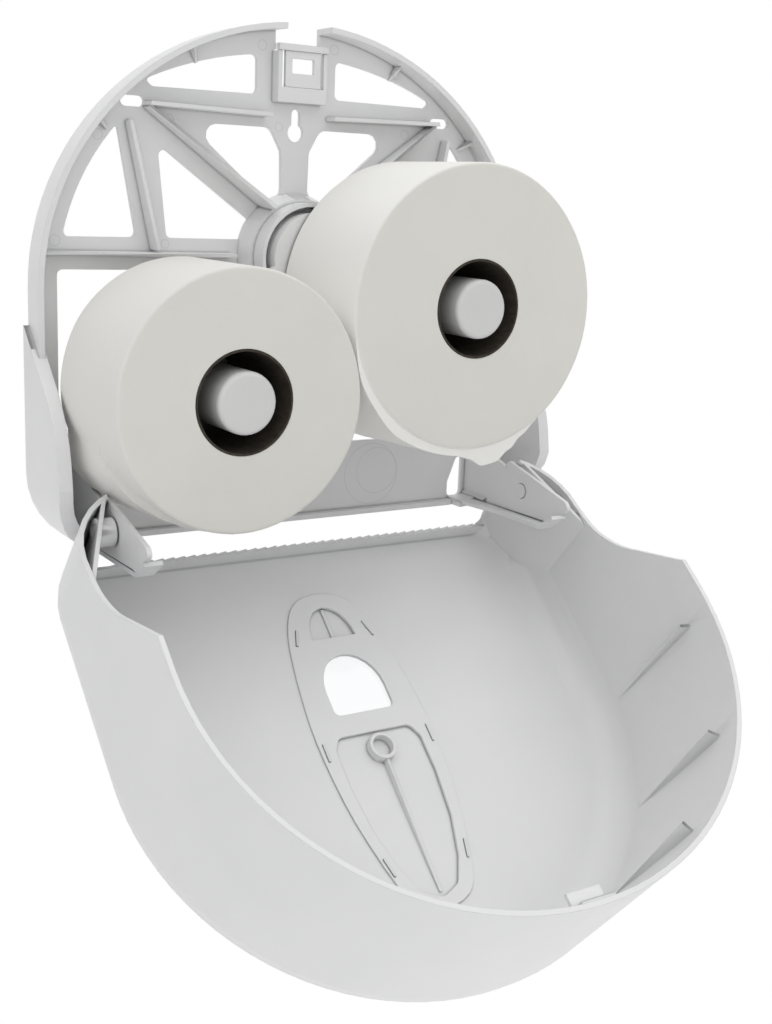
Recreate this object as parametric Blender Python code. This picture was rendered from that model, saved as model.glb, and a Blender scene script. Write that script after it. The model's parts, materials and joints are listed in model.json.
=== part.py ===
# Wall dispenser for two jumbo toilet rolls, with its front cover swung open.
# Metres, X to the right, Y toward the wall, Z up. The wall is the plane y = 0, and the origin is the back
# face of the chassis on its centre column. The shapes are laid out from the centre of the chassis arch.
import math

import bmesh
import bpy
from mathutils import Matrix, Vector

# Driving sizes of the body
ARCH_RISE = 0.1642
SIDE_DROP = 0.155
CORNER_RADIUS = 0.045
BODY_DEPTH = 0.140
WALL = 0.003
COVER_FILLET = 0.024
MOUNT_RISE = 0.075
FIT_GAP = 0.0003
OVERRUN = 0.001
MERGE = 0.000001

# Cover hinge
HINGE_Y = -0.0716
HINGE_RISE = 0.0218
OPEN_ANGLE = 130.8
PIN_RADIUS = 0.005

# Rolls, with the room that each has to the side and to the floor of the body, and how far the two lap
# over each other sideways, which they can because they stand at different heights
HUB_Z = 0.0213
LEFT_TISSUE_RADIUS = 0.0754
RIGHT_TISSUE_RADIUS = 0.087
LEFT_SIDE_ROOM = 0.0064
RIGHT_SIDE_ROOM = 0.0243
LEFT_FLOOR_ROOM = 0.0266
RIGHT_FLOOR_ROOM = 0.0655
ROLL_LAP = 0.0059
ROLL_GAP = 0.0015
ROLL_WIDTH = 0.090
CORE_RADIUS = 0.030
CORE_WALL = 0.0012
CORE_PROUD = 0.0003
TISSUE_EDGE = 0.0015

# Steps of the round shapes
ARCH_STEPS = 48
CORNER_STEPS = 8
FILLET_STEPS = 5
ROUND_STEPS = 40
SMALL_STEPS = 24
ROLL_STEPS = 60
BEND_LIMIT = 20.0
CORNER_REACH_SHARE = 0.4545
SHARP_ANGLE = 32.0


def to_object(bm):
    bmesh.ops.recalc_face_normals(bm, faces=bm.faces)
    mesh = bpy.data.meshes.new("shape")
    bm.to_mesh(mesh)
    bm.free()
    shape = bpy.data.objects.new("shape", mesh)
    bpy.context.scene.collection.objects.link(shape)
    return shape


def loft(rings):
    # Closed solid through rings of equally many points
    bm = bmesh.new()
    loops = [[bm.verts.new(point) for point in ring] for ring in rings]
    count = len(loops[0])
    for lower, upper in zip(loops, loops[1:]):
        for index in range(count):
            after = (index + 1) % count
            bm.faces.new((lower[index], lower[after], upper[after], upper[index]))
    bm.faces.new(loops[0])
    bm.faces.new(list(reversed(loops[-1])))
    return to_object(bm)


def prism_y(outline, start, end):
    return loft([[(x, y, z) for x, z in outline] for y in (start, end)])


def prism_x(outline, start, end):
    return loft([[(x, y, z) for y, z in outline] for x in (start, end)])


def prism_z(outline, start, end):
    return loft([[(x, y, z) for x, y in outline] for z in (start, end)])


def box(low, high):
    outline = [(low[0], low[2]), (high[0], low[2]), (high[0], high[2]), (low[0], high[2])]
    return prism_y(outline, low[1], high[1])


def turned(profile, centre, steps, closed=True):
    # Profile of (radius, y) points turned about an axis along Y through centre = (x, z)
    bm = bmesh.new()
    verts = [bm.verts.new((centre[0] + radius, y, centre[1])) for radius, y in profile]
    pairs = list(zip(verts, verts[1:]))
    if closed:
        pairs.append((verts[-1], verts[0]))
    edges = [bm.edges.new(pair) for pair in pairs]
    bmesh.ops.spin(bm, geom=verts + edges, cent=(centre[0], 0, centre[1]), axis=(0, 1, 0),
                   angle=math.tau, steps=steps, use_merge=True)
    bmesh.ops.remove_doubles(bm, verts=bm.verts, dist=MERGE)
    return to_object(bm)


def rod_x(centre, radius, start, end, steps=SMALL_STEPS):
    # Round bar along X through centre = (y, z)
    return prism_x(circle(centre, radius, steps), start, end)


def circle(centre, radius, steps):
    return arc(centre, radius, radius, 0, 360, steps)[:-1]


def arc(centre, radius_a, radius_b, start, end, steps):
    # Points along an elliptic arc, angles in degrees, both ends included
    points = []
    for index in range(steps + 1):
        angle = math.radians(start + (end - start) * index / steps)
        points.append((centre[0] + radius_a * math.cos(angle), centre[1] + radius_b * math.sin(angle)))
    return points


def arch_outline(offset, inset=0, floor_inset=0):
    # Outer line of the body grown by offset, then drawn in by inset at the arch and sides
    half = ARCH_HALF_WIDTH + offset
    radius = CORNER_RADIUS + offset
    drop = SIDE_DROP + offset
    corner_a = radius - inset
    corner_b = radius - floor_inset
    points = arc((0, 0), half - inset, ARCH_RISE + offset - inset, 0, 180, ARCH_STEPS)
    points += arc((radius - half, radius - drop), corner_a, corner_b, 180, 270, CORNER_STEPS)
    points += arc((half - radius, radius - drop), corner_a, corner_b, 270, 360, CORNER_STEPS)
    return points


def rounded(points, radius, steps=4):
    # Polygon with its sharp corners rounded, gentle bends of an arc are kept as they are
    result = []
    count = len(points)
    for index in range(count):
        corner = Vector(points[index])
        before = Vector(points[index - 1]) - corner
        after = Vector(points[(index + 1) % count]) - corner
        half_angle = before.angle(after) / 2
        turn = 180 - math.degrees(2 * half_angle)
        if turn < BEND_LIMIT:
            result.append(tuple(corner))
            continue
        shorter = min(before.length, after.length)
        reach = min(radius / math.tan(half_angle), shorter * CORNER_REACH_SHARE)
        fitted = reach * math.tan(half_angle)
        bisector = (before.normalized() + after.normalized()).normalized()
        centre = corner + bisector * (fitted / math.sin(half_angle))
        start = corner + before.normalized() * reach - centre
        end = corner + after.normalized() * reach - centre
        swing = start.angle_signed(end)
        for step in range(steps + 1):
            turned_by = Matrix.Rotation(-swing * step / steps, 2)
            result.append(tuple(centre + turned_by @ start))
    return result


def smooth_curve(points, steps=4):
    # Catmull-Rom curve through points, both ends included
    padded = [points[0]] + list(points) + [points[-1]]
    result = []
    for index in range(1, len(padded) - 2):
        p0, p1, p2, p3 = (Vector(padded[index + shift]) for shift in (-1, 0, 1, 2))
        for step in range(steps):
            t = step / steps
            curve = 2 * p1 + (p2 - p0) * t + (2 * p0 - 5 * p1 + 4 * p2 - p3) * t ** 2
            curve += (3 * p1 - p0 - 3 * p2 + p3) * t ** 3
            result.append(tuple(curve / 2))
    result.append(tuple(points[-1]))
    return result


def mirrored(outline):
    return [(-x, z) for x, z in reversed(outline)]


def weld(mesh):
    # Joins the doubled points that a Boolean leaves where edges of both shapes meet
    bm = bmesh.new()
    bm.from_mesh(mesh)
    bmesh.ops.remove_doubles(bm, verts=bm.verts, dist=MERGE)
    bmesh.ops.dissolve_degenerate(bm, edges=bm.edges, dist=MERGE)
    bm.to_mesh(mesh)
    bm.free()


def boolean(base, operation, tools):
    for tool in tools:
        modifier = base.modifiers.new(operation, "BOOLEAN")
        modifier.operation = operation
        modifier.solver = "EXACT"
        modifier.object = tool
    graph = bpy.context.evaluated_depsgraph_get()
    mesh = bpy.data.meshes.new_from_object(base.evaluated_get(graph))
    base.modifiers.clear()
    base.data = mesh
    weld(mesh)
    for tool in tools:
        bpy.data.objects.remove(tool)
    return base


def fuse(base, *tools):
    return boolean(base, "UNION", tools)


def carve(base, *tools):
    return boolean(base, "DIFFERENCE", tools)


def keep_inside(base, tool):
    return boolean(base, "INTERSECT", [tool])


def material(name, colour, roughness, metallic=0.0):
    made = bpy.data.materials.new(name)
    made.use_nodes = True
    shader = made.node_tree.nodes["Principled BSDF"]
    shader.inputs["Base Color"].default_value = (*colour, 1)
    shader.inputs["Roughness"].default_value = roughness
    shader.inputs["Metallic"].default_value = metallic
    return made


def anchor(name, location, parent=None, turn=0):
    # Empty on a joint axis, turned about X
    empty = bpy.data.objects.new(name, None)
    empty.location = location
    empty.rotation_euler = (math.radians(turn), 0, 0)
    empty.parent = parent
    bpy.context.scene.collection.objects.link(empty)
    return empty


def finish(shape, name, look, parent, origin=(0, 0, 0), pivot=(0, 0, 0)):
    # Names a shape and puts its origin on the pivot, in the parent whose own place is at origin
    shape.data.transform(Matrix.Translation(-Vector(pivot)))
    shape.data.materials.clear()
    shape.data.materials.append(look)
    shape.data.shade_smooth()
    shape.data.set_sharp_from_angle(angle=math.radians(SHARP_ANGLE))
    shape.data.name = name
    shape.name = name
    shape.parent = parent
    shape.location = Vector(pivot) - Vector(origin)
    return shape


# Chassis, outlines as shares of the arch's half width and rise
RIM_DEPTH = 0.0195
RIM_WALL = 0.0035
FLOOR_RIM_DEPTH = 0.009
WINDOW_CORNER = 0.0035
QUAD_CORNER = 0.007
FAN_ARC_SHARES = (1.110, 0.892)
SIDE_ARC_SHARES = (0.904, 0.9166)
FAN_ANGLES = (81.7, 59.6)
FAN_SHARES = ((-0.583, 0.757), (-0.561, 0.734), (-0.160, 0.737))
SIDE_ANGLES = (141.6, 168.0)
SIDE_SHARES = ((-0.618, 0.192), (-0.6865, 0.594))
INNER_SHARES = ((-0.541, 0.536), (-0.506, 0.192), (-0.177, 0.192), (-0.154, 0.244))
QUAD_SHARES = ((-0.429, 0.618), (-0.126, 0.350), (-0.097, 0.332), (-0.0543, 0.3715),
               (-0.0572, 0.530), (-0.103, 0.618))
LOW_SIDE_SHARES = ((-0.904, 0.073), (-0.904, -0.560), (-0.268, -0.024), (-0.309, 0.073))
LOW_MIDDLE_SHARES = ((-0.2117, -0.1005), (-0.832, -0.633), (-0.0572, -0.633), (-0.0572, -0.207))
CORNER_SHARES = ((-0.795, -0.737), (-0.755, -0.847), (-0.755, -0.913), (-0.824, -0.913), (-0.824, -0.737))
SLOT_SHARES = (0.632, 0.678)
SLOT_LENGTH = 0.015
SLOT_HEIGHT = 0.0065
KEYHOLE_Z = 0.099
KEYHOLE_RADIUS = 0.0057
KEYHOLE_SLOT_WIDTH = 0.0062
KEYHOLE_TOP_Z = 0.1136
RIB_WALL = 0.0025
RIB_DEPTH = 0.015
RIB_RISE = 0.004
TOP_RIB_SHARES = ((-0.600, 0.672), (-0.126, 0.663))
MIDDLE_RIB_SHARES = ((-0.985, 0.133), (-0.260, 0.133))
SIDE_RIB_SHARES = ((-0.652, 0.609), (-0.560, 0.150))
DIAGONAL_RIB_SHARES = ((-0.589, 0.665), (-0.130, 0.318))
LOW_RIB_SHARES = ((-0.240, -0.062), (-0.880, -0.600))
GUSSET_ANGLES = (64.5, 38.5)
GUSSET_WALL = 0.0018
GUSSET_REACH = 0.010
GUSSET_DEPTH = 0.013

# Hub collar of the chassis and the carrier turning in it
HUB_BORE = 0.0322
COLLAR_DEPTH = 0.028
COLLAR_WALL = 0.0025
COLLAR_STEP = 0.002
COLLAR_STEP_SHARE = 0.55
COLLAR_FOOT_RADIUS = 0.0405
COUNTERBORE_RADIUS = 0.038
COUNTERBORE_DEPTH = 0.0075
RUNNING_GAP = 0.0005
DRUM_RADIUS = 0.0285
DRUM_WALL = 0.0025
DRUM_BEARING = 0.007
ARM_THICKNESS = 0.0045
ARM_END_RADIUS = 0.026
ARM_HALF_WIDTH = 0.014
RING_THICKNESS = 0.0035
RING_BORE = 0.020
RING_SPIGOT = 0.004
SPINDLE_RADIUS = 0.01806
SPINDLE_PROUD = 0.004
SPINDLE_EDGE = 0.003
SPINDLE_WALL = 0.0022
SPINDLE_CAP = 0.003
FIN_COUNT = 6
FIN_WALL = 0.0018
FIN_LENGTH = 0.032
FIN_GAP = 0.0005

# Latch block on the chassis
LATCH_HALF_WIDTH = 0.0175
LATCH_FOOT_Z = 0.117
LATCH_ROOT_Z = 0.126
LATCH_BAND_Z = 0.148
LATCH_BAND_HEIGHT = 0.004
LATCH_DEPTH = 0.0115
LATCH_WALL = 0.0025
LATCH_BAND_PROUD = 0.001
LATCH_SLIT_X = 0.0136
LATCH_SLIT_WIDTH = 0.0023
LATCH_WINDOW_HALF_WIDTH = 0.0078
LATCH_WINDOW_Z = (0.1345, 0.1435)
LATCH_WINDOW_CORNER = 0.001
NOTCH_HALF_WIDTH = 0.0155
NOTCH_FOOT_Z = 0.1525

# Wings and hinge arms of the chassis, side outlines as shares of the body's depth and the drop of its sides
SKIN_STEP = 0.0033
WING_WALL = 0.0081
WING_TOP_Z = -0.021
SEAM_GAP = 0.0007
EAR_EDGE_SHARES = ((-0.0071, -0.1335), (-0.0321, -0.1516), (-0.1929, -0.2935), (-0.3143, -0.4065),
                   (-0.4036, -0.5484), (-0.4393, -0.7097))
EAR_BACK_SHARE = 0.4429
WING_TAIL_SHARES = ((-0.4179, -0.7613), (-0.3857, -0.8065), (-0.3464, -0.8581), (-0.3107, -0.8903),
                    (-0.2714, -0.9161), (-0.2357, -0.9419), (-0.1893, -0.9742), (-0.1321, -1.0258))
ARM_INSET = 0.0278
ARM_WALL = 0.003
ARM_SHARES = ((-0.0086, -0.671), (-0.2714, -0.7129), (-0.5643, -0.7806), (-0.85, -0.8484),
              (-0.8786, -0.8774), (-0.7357, -0.9677), (-0.0086, -0.9677))
ARM_CORNER = 0.004
WING_END_REACH = 0.007
EAR_FOOT_RISE = 0.005
SHELF_WALL = 0.0025
SHELF_REACH = 0.014
SHELF_START_Y = -0.009
SHELF_END_Y = -0.052
FLANGE_REACH = 0.0085
FLANGE_OUTER = ((-0.104, -0.1525), (-0.1175, -0.1430))
FLANGE_INNER = ((-0.1160, -0.1408), (-0.1032, -0.1497))

# Cover, laid out closed
COVER_RIM_Y = -0.001
FLOOR_FILLET_SHARE = 0.42
FOLD_RISE = 0.009
EAR_GAP = 0.0006
FOLD_INSET = 0.0136
LIP_INSET = 0.0046
WEB_TOP_PROUD = 0.0014
WEB_TOP_Z = -0.093
WEB_FOOT_OUTSET = 0.0019
WEB_FOOT_DROP = 0.002
WEB_WALL = 0.0025
BOSS_RADIUS = 0.0085
BOSS_REACH = 0.0105
LIP_REACH = 0.0175
LIP_RISE = 0.005
LIP_WALL = 0.002
TOOTH_COUNT = 38
TOOTH_DEPTH = 0.003
TOOTH_SHARE = 0.7
SIDE_RIBS = ((5.0, 0.0229), (33.0, 0.0202), (58.0, 0.0202))
SIDE_RIB_WALL = 0.002
SIDE_RIB_REACH = 0.0075
SIDE_RIB_END_Y = -0.131
TAB_HALF_WIDTH = 0.011
TAB_WALL = 0.002
TAB_DEPTH = 0.011
TAB_DROP = 0.010

# Front trim: half outlines of the teardrop and its large hole from the bottom up, and the places of the
# clips with their lean, as shares of the trim's half width and of its rise above the arch centre
TRIM_HALF_WIDTH = 0.041
TRIM_RISE = 0.1125
TRIM_SHARES = ((0, -0.9867), (0.3537, -0.96), (0.622, -0.8622), (0.8293, -0.6489), (0.9756, -0.2667),
               (1, 0.0444), (0.9024, 0.4267), (0.6463, 0.8178), (0.4146, 0.9511), (0, 1))
TRIM_PAD = 0.0012
TRIM_BORDER = 0.0015
TRIM_RECESS = 0.002
TRIM_WALL = 0.0017
LARGE_HOLE_SHARES = ((0.6341, -0.0622), (0.7561, 0.0178), (0.7561, 0.24), (0.6829, 0.5067),
                     (0.5122, 0.7378), (0.3171, 0.88), (0, 0.9333))
LARGE_HOLE_CORNER = 0.006
OVAL_HALF_WIDTH = 0.016
OVAL_FLAT_Z = -0.077
OVAL_HEIGHT = 0.023
SIGHT_FLAT_Z = -0.0193
SIGHT_HALF_WIDTH = 0.0235
SIGHT_SIDE_Z = -0.038
SIGHT_LOW_HEIGHT = 0.0275
SIGHT_CORNER = 0.006
SIGHT_LEDGE = 0.002
LENS_WALL = 0.0014
CLIP_SHARES = ((0.6463, -0.7111, -19.0), (0.922, 0.0133, 0.0), (0.6707, 0.7111, 13.0))
CLIP_LENGTH = 0.0125
CLIP_WIDTH = 0.0017
CLIP_PROUD = 0.0009
RING_BOSS_Z = 0.005
RING_BOSS_RADIUS = 0.009
RING_BOSS_WALL = 0.0022
RING_BOSS_HEIGHT = 0.006
TRIM_RIB_WALL = 0.002
TRIM_RIB_TOP_Z = 0.101

# Values worked out from the sizes above
ROLL_ROW = 2 * LEFT_TISSUE_RADIUS + 2 * RIGHT_TISSUE_RADIUS - ROLL_LAP
ARCH_HALF_WIDTH = (LEFT_SIDE_ROOM + ROLL_ROW + RIGHT_SIDE_ROOM) / 2
LEFT_ROLL = (LEFT_SIDE_ROOM + LEFT_TISSUE_RADIUS - ARCH_HALF_WIDTH,
             LEFT_FLOOR_ROOM + LEFT_TISSUE_RADIUS - SIDE_DROP)
RIGHT_ROLL = (ARCH_HALF_WIDTH - RIGHT_TISSUE_RADIUS - RIGHT_SIDE_ROOM,
              RIGHT_FLOOR_ROOM + RIGHT_TISSUE_RADIUS - SIDE_DROP)
COVER_OFFSET = FIT_GAP + WALL
PANEL_Y = WALL - BODY_DEPTH
HINGE_Z = HINGE_RISE - SIDE_DROP
CORE_BORE = CORE_RADIUS - CORE_WALL
ARM_BACK_Y = -COLLAR_DEPTH - RUNNING_GAP
ARM_FRONT_Y = ARM_BACK_Y - ARM_THICKNESS
ROLL_BACK_Y = ARM_FRONT_Y - ROLL_GAP
ROLL_FRONT_Y = ROLL_BACK_Y - ROLL_WIDTH
SPINDLE_TIP_Y = ROLL_FRONT_Y - SPINDLE_PROUD
HUB = (0, HUB_Z)
ARM_X = ARCH_HALF_WIDTH - ARM_INSET
ARM_OUTER_X = ARM_X + ARM_WALL
EAR_INNER_X = ARM_OUTER_X + EAR_GAP
EAR_FOOT_Z = EAR_FOOT_RISE - SIDE_DROP
EAR_BACK_Y = -EAR_BACK_SHARE * BODY_DEPTH
WING_END_X = ARM_X - WING_END_REACH
SHELF_START_X = ARM_X - SHELF_REACH
FOLD_Z = FOLD_RISE - SIDE_DROP
FOLD_HALF_WIDTH = EAR_INNER_X - FOLD_INSET
LIP_HALF_WIDTH = EAR_INNER_X - LIP_INSET
WEB_TOP = (ARCH_HALF_WIDTH + WEB_TOP_PROUD, WEB_TOP_Z)
WEB_FOOT = (EAR_INNER_X + WEB_FOOT_OUTSET, EAR_FOOT_Z - WEB_FOOT_DROP)


def arch_point(share):
    return (share[0] * ARCH_HALF_WIDTH, share[1] * ARCH_RISE)


def arch_points(shares):
    return [arch_point(share) for share in shares]


def side_points(shares):
    # (y, z) points of a side outline
    return [(y * BODY_DEPTH, z * SIDE_DROP) for y, z in shares]


def trim_points(shares):
    return [(share[0] * TRIM_HALF_WIDTH, share[1] * TRIM_RISE) for share in shares]


def arch_arc(radius_shares, angles, steps):
    # Stretch of an ellipse about the arch centre, on the left side
    half, rise = arch_point(radius_shares)
    points = arc((0, 0), half, rise, angles[0], angles[1], steps)
    return [(-abs(x), z) for x, z in points]


def rib(shares, end_depth, start_depth=None, wall=RIB_WALL):
    # Upright wall on the back plate along a line, its depth may change along the way
    start = Vector(arch_point(shares[0]))
    end = Vector(arch_point(shares[1]))
    side = (end - start).orthogonal().normalized() * (wall / 2)
    depths = (start_depth or end_depth, end_depth)
    rings = []
    for point, depth in zip((start, end), depths):
        left = point + side
        right = point - side
        back = -WALL / 2
        rings.append([(left.x, back, left.y), (right.x, back, right.y),
                      (right.x, -depth, right.y), (left.x, -depth, left.y)])
    return loft(rings)


def chassis_windows():
    # Openings of the left half of the lattice
    fan = arch_arc(FAN_ARC_SHARES, FAN_ANGLES, 8) + arch_points(FAN_SHARES)
    side = arch_arc(SIDE_ARC_SHARES, SIDE_ANGLES, 8) + arch_points(SIDE_SHARES)
    outlines = [fan, side]
    for shares in (INNER_SHARES, LOW_SIDE_SHARES, LOW_MIDDLE_SHARES, CORNER_SHARES):
        outlines.append(arch_points(shares))
    windows = [rounded(outline, WINDOW_CORNER) for outline in outlines]
    windows.append(rounded(arch_points(QUAD_SHARES), QUAD_CORNER))
    return windows


def both_sides(outlines):
    return outlines + [mirrored(outline) for outline in outlines]


def hub_collar():
    # Stepped cone around the hub, still solid
    mouth = HUB_BORE + COLLAR_WALL
    step_y = -COLLAR_DEPTH * COLLAR_STEP_SHARE
    profile = [(0, -COLLAR_DEPTH), (mouth, -COLLAR_DEPTH), (mouth, step_y), (mouth + COLLAR_STEP, step_y),
               (COLLAR_FOOT_RADIUS, -WALL / 2), (0, -WALL / 2)]
    return turned(profile, HUB, ROUND_STEPS, closed=False)


def hub_cut():
    # Bore for the drum, with a wider seat for the retaining ring behind it
    profile = [(0, OVERRUN), (COUNTERBORE_RADIUS, OVERRUN), (COUNTERBORE_RADIUS, -COUNTERBORE_DEPTH),
               (HUB_BORE, -COUNTERBORE_DEPTH), (HUB_BORE, -COLLAR_DEPTH - OVERRUN),
               (0, -COLLAR_DEPTH - OVERRUN)]
    return turned(profile, HUB, ROUND_STEPS, closed=False)


def gusset(angle):
    # Small triangle that stiffens the rim at an angle of the arch
    outer = Vector(arch_point((math.cos(math.radians(angle)), math.sin(math.radians(angle)))))
    inward = -outer.normalized()
    wall_face = outer + inward * (RIM_WALL / 2)
    toe = outer + inward * (RIM_WALL + GUSSET_REACH)
    side = inward.orthogonal() * (GUSSET_WALL / 2)
    rings = []
    for sign in (-1, 1):
        near = wall_face + side * sign
        far = toe + side * sign
        rings.append([(near.x, -WALL / 2, near.y), (far.x, -WALL / 2, far.y), (far.x, -WALL, far.y),
                      (near.x, -GUSSET_DEPTH, near.y)])
    return loft(rings)


def wing_front():
    front = [(y + SEAM_GAP, z) for y, z in smooth_curve(side_points(EAR_EDGE_SHARES))]
    return [(min(y, 0), z) for y, z in front] + side_points(WING_TAIL_SHARES)


def wing(sign):
    outer = [(x, z) for x, z in arch_outline(SKIN_STEP) if x > WING_END_X and z < WING_TOP_Z]
    inner = [(x, z) for x, z in arch_outline(SKIN_STEP - WING_WALL) if x > WING_END_X and z < WING_TOP_Z]
    top_outer = (ARCH_HALF_WIDTH + SKIN_STEP, WING_TOP_Z)
    top_inner = (ARCH_HALF_WIDTH + SKIN_STEP - WING_WALL, WING_TOP_Z)
    outline = outer + [top_outer, top_inner] + list(reversed(inner))
    outline = [(sign * x, z) for x, z in outline]
    shape = prism_y(outline, -FIT_GAP, EAR_BACK_Y - OVERRUN)
    front = wing_front()
    far_y = -BODY_DEPTH
    cutter = [(far_y, WING_TOP_Z + OVERRUN * 2), (0, WING_TOP_Z + OVERRUN * 2)] + front
    cutter.append((far_y, front[-1][1]))
    reach = ARCH_HALF_WIDTH + WING_WALL
    low_x = min(sign * WING_END_X, sign * reach) - OVERRUN
    high_x = max(sign * WING_END_X, sign * reach) + OVERRUN
    return carve(shape, prism_x(cutter, low_x, high_x))


def hinge_arm(sign):
    points = side_points(ARM_SHARES)
    outline = [points[0]] + rounded(points[1:-1], ARM_CORNER) + [points[-1]]
    plate = prism_x(outline, sign * ARM_X, sign * ARM_OUTER_X)
    root_y, shelf_z = points[-1]
    top_z = shelf_z + FIT_GAP
    flange_x = ARM_X - FLANGE_REACH
    shelf_outline = [(SHELF_START_X, root_y), (SHELF_START_X, SHELF_START_Y), (flange_x, SHELF_END_Y),
                     (ARM_OUTER_X - OVERRUN, SHELF_END_Y), (ARM_OUTER_X - OVERRUN, root_y)]
    shelf = prism_z([(sign * x, y) for x, y in shelf_outline], shelf_z - SHELF_WALL, top_z)
    band = [(SHELF_END_Y / 2, shelf_z - SHELF_WALL)] + list(FLANGE_OUTER) + list(FLANGE_INNER)
    flange = prism_x(band + [(SHELF_END_Y / 2, top_z)], sign * flange_x, sign * ARM_OUTER_X)
    hole = rod_x((HINGE_Y, HINGE_Z), PIN_RADIUS + FIT_GAP, sign * (ARM_X - OVERRUN),
                 sign * (ARM_OUTER_X + OVERRUN))
    return carve(fuse(fuse(plate, flange), shelf), hole)


def latch_block():
    return box((-LATCH_HALF_WIDTH, -LATCH_DEPTH, LATCH_FOOT_Z),
               (LATCH_HALF_WIDTH, -WALL / 2, LATCH_BAND_Z - FIT_GAP))


def latch_cuts():
    slit_outer = LATCH_SLIT_X + LATCH_SLIT_WIDTH / 2
    inner = LATCH_HALF_WIDTH - LATCH_WALL / 2
    hollow = box((-inner, -LATCH_DEPTH + LATCH_WALL, LATCH_FOOT_Z + LATCH_WALL),
                 (inner, OVERRUN, LATCH_BAND_Z + OVERRUN))
    tongue_gap = box((-slit_outer, -LATCH_DEPTH - OVERRUN, LATCH_ROOT_Z),
                     (slit_outer, OVERRUN, NOTCH_FOOT_Z + OVERRUN))
    notch = box((-NOTCH_HALF_WIDTH, -RIM_DEPTH - OVERRUN, NOTCH_FOOT_Z),
                (NOTCH_HALF_WIDTH, OVERRUN, ARCH_RISE + OVERRUN))
    return [hollow, tongue_gap, notch]


def build_chassis(look, frame):
    chassis = prism_y(arch_outline(0), 0, -RIM_DEPTH)
    tray = prism_y(arch_outline(-RIM_WALL), -WALL, -RIM_DEPTH - OVERRUN)
    windows = [prism_y(outline, OVERRUN, -WALL - OVERRUN) for outline in both_sides(chassis_windows())]
    carve(chassis, tray)
    carve(chassis, *windows)
    low_rim = box((-SHELF_START_X, -RIM_DEPTH - OVERRUN, -SIDE_DROP - OVERRUN),
                  (SHELF_START_X, -FLOOR_RIM_DEPTH, -SIDE_DROP + RIM_WALL + OVERRUN))
    carve(chassis, low_rim)
    fuse(chassis, latch_block())
    ribs = []
    for side in (-1, 1):
        for shares, start_depth, end_depth in (
                (TOP_RIB_SHARES, RIB_DEPTH, RIB_DEPTH),
                (MIDDLE_RIB_SHARES, RIB_DEPTH, RIB_DEPTH),
                (SIDE_RIB_SHARES, RIB_DEPTH - RIB_RISE, RIB_DEPTH),
                (DIAGONAL_RIB_SHARES, RIB_DEPTH - RIB_RISE, COLLAR_DEPTH - RIB_RISE),
                (LOW_RIB_SHARES, COLLAR_DEPTH - RIB_RISE, RIB_DEPTH - RIB_RISE)):
            turned_shares = [(-side * x, z) for x, z in shares]
            ribs.append(rib(turned_shares, end_depth, start_depth))
        for angle in GUSSET_ANGLES:
            ribs.append(gusset(angle if side > 0 else 180 - angle))
    for upright in ribs:
        fuse(chassis, upright)
    fuse(chassis, hub_collar())
    carve(chassis, hub_cut())
    for side in (1, -1):
        fuse(chassis, wing(side))
        fuse(chassis, hinge_arm(side))
    carve(chassis, *latch_cuts())
    slots = []
    for side in (-1, 1):
        centre = arch_point((side * SLOT_SHARES[0], SLOT_SHARES[1]))
        half = SLOT_HEIGHT / 2
        run = SLOT_LENGTH / 2 - half
        outline = arc((centre[0] + run, centre[1]), half, half, -90, 90, 8)
        outline += arc((centre[0] - run, centre[1]), half, half, 90, 270, 8)
        slots.append(prism_y(outline, OVERRUN, -RIM_DEPTH))
    half = KEYHOLE_SLOT_WIDTH / 2
    keyhole_slot = arc((0, KEYHOLE_TOP_Z - half), half, half, 0, 180, 8)
    keyhole_slot += [(-half, KEYHOLE_Z), (half, KEYHOLE_Z)]
    slots.append(prism_y(keyhole_slot, OVERRUN, -RIM_DEPTH))
    slots.append(prism_y(circle((0, KEYHOLE_Z), KEYHOLE_RADIUS, SMALL_STEPS), OVERRUN, -RIM_DEPTH))
    carve(chassis, *slots)
    return finish(chassis, "chassis", look, frame)


def build_latch(look, frame):
    slit = LATCH_SLIT_X - LATCH_SLIT_WIDTH / 2
    root_z = LATCH_ROOT_Z + FIT_GAP
    back_y = -LATCH_DEPTH + LATCH_WALL
    tongue = box((-slit, -LATCH_DEPTH, root_z), (slit, back_y, LATCH_BAND_Z + LATCH_BAND_HEIGHT / 2))
    band = box((-LATCH_HALF_WIDTH, -LATCH_DEPTH - LATCH_BAND_PROUD, LATCH_BAND_Z),
               (LATCH_HALF_WIDTH, back_y, LATCH_BAND_Z + LATCH_BAND_HEIGHT))
    low, high = LATCH_WINDOW_Z
    half = LATCH_WINDOW_HALF_WIDTH
    outline = rounded([(-half, low), (half, low), (half, high), (-half, high)], LATCH_WINDOW_CORNER)
    carve(fuse(tongue, band), prism_y(outline, OVERRUN, -LATCH_DEPTH - OVERRUN))
    pivot = (0, back_y - LATCH_WALL / 2, root_z)
    return finish(tongue, "latch_tongue", look, frame, pivot=pivot)


def arm_bar(centre):
    # Flat bar from the hub to a spindle's seat, inside the drum's circle at the hub
    run = Vector(centre) - Vector(HUB)
    side = run.orthogonal().normalized() * ARM_HALF_WIDTH
    ends = (Vector(HUB) + side, Vector(HUB) - side, Vector(centre) - side, Vector(centre) + side)
    return prism_y([tuple(point) for point in ends], ARM_BACK_Y, ARM_FRONT_Y)


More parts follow.
